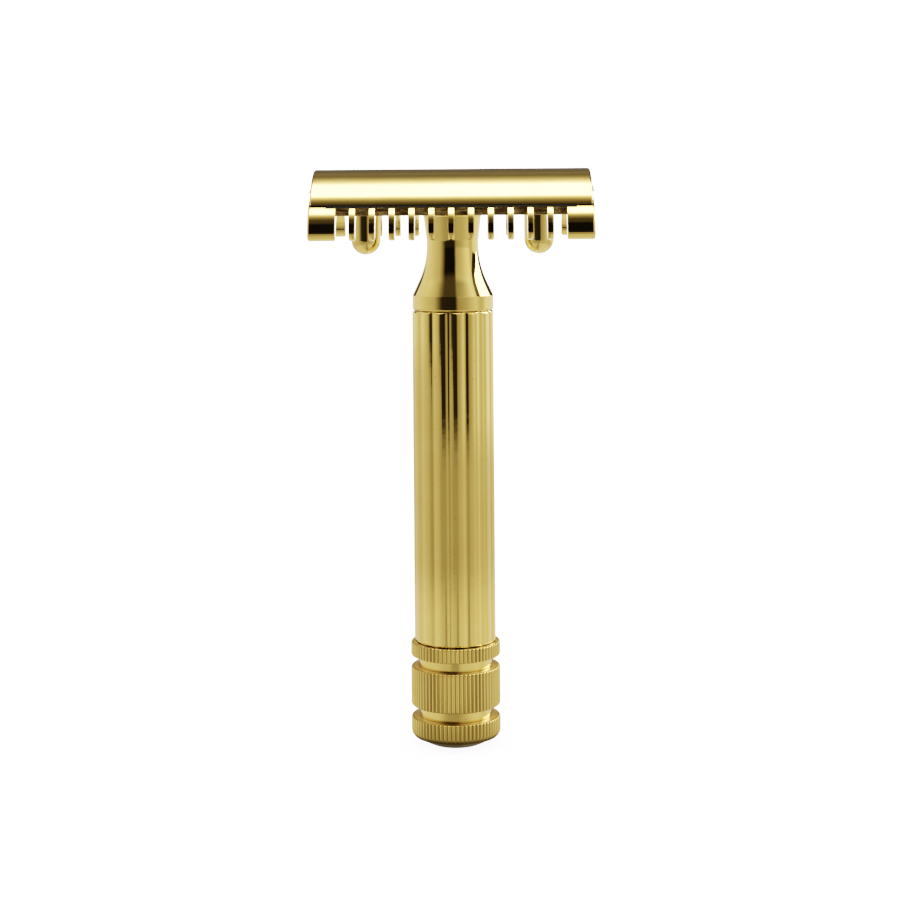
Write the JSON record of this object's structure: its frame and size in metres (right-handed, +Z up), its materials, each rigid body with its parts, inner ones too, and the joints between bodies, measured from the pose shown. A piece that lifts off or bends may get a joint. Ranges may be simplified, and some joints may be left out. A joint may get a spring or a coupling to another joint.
{
  "type": "safety razor",
  "caption": "Open-comb double-edge safety razor: curved cap, blade and comb guard clamped by a stud that screws into a ribbed handle with a knurled pommel.",
  "frame": {"origin": "centre of the flat foot at the bottom of the handle, on the handle's axis", "axes": "+Z up the handle's axis from the foot to the cap, +X along the cutting edges to the right peg, +Y across the head to the far comb; the near comb faces -Y"},
  "size_m": [0.0428, 0.0248, 0.0879],
  "materials": {
    "gold_head": "polished gold plate over brass",
    "gold_handle": "polished gold plate over brass, with light handling marks",
    "gold_knurl": "gold plate over knurled brass",
    "blade_steel": "thin stainless strip, fine-ground along the cutting edges"
  },
  "bodies": {
    "handle": {"neck": "gold_handle", "grip_tube": "gold_handle", "pommel": "gold_knurl"},
    "guard": {"base_plate": "gold_head"},
    "cap_assembly": {"cap": "gold_head", "threaded_stud": "gold_head", "left_peg": "gold_head", "right_peg": "gold_head"},
    "loose_blade": {"blade": "blade_steel"}
  },
  "joints": [
    {"name": "head_unscrew", "type": "hinge", "parent": "handle", "child": "guard", "pos_m": [0, 0, 0.0806], "axis": [0, 0, 1], "range_deg": [0, 4680]},
    {"name": "cap_lift", "type": "slide", "parent": "guard", "child": "cap_assembly", "axis": [0, 0, 1], "range_m": [0, 0.01041]},
    {"name": "blade_lift", "type": "slide", "parent": "guard", "child": "loose_blade", "axis": [0, 0, 1], "range_m": [0, 0.00521]}
  ],
  "couplings": [
    {"joint": "cap_lift", "follows": "head_unscrew", "m_per_rad": 0.00012732},
    {"joint": "blade_lift", "follows": "head_unscrew", "m_per_rad": 0.000063662}
  ]
}
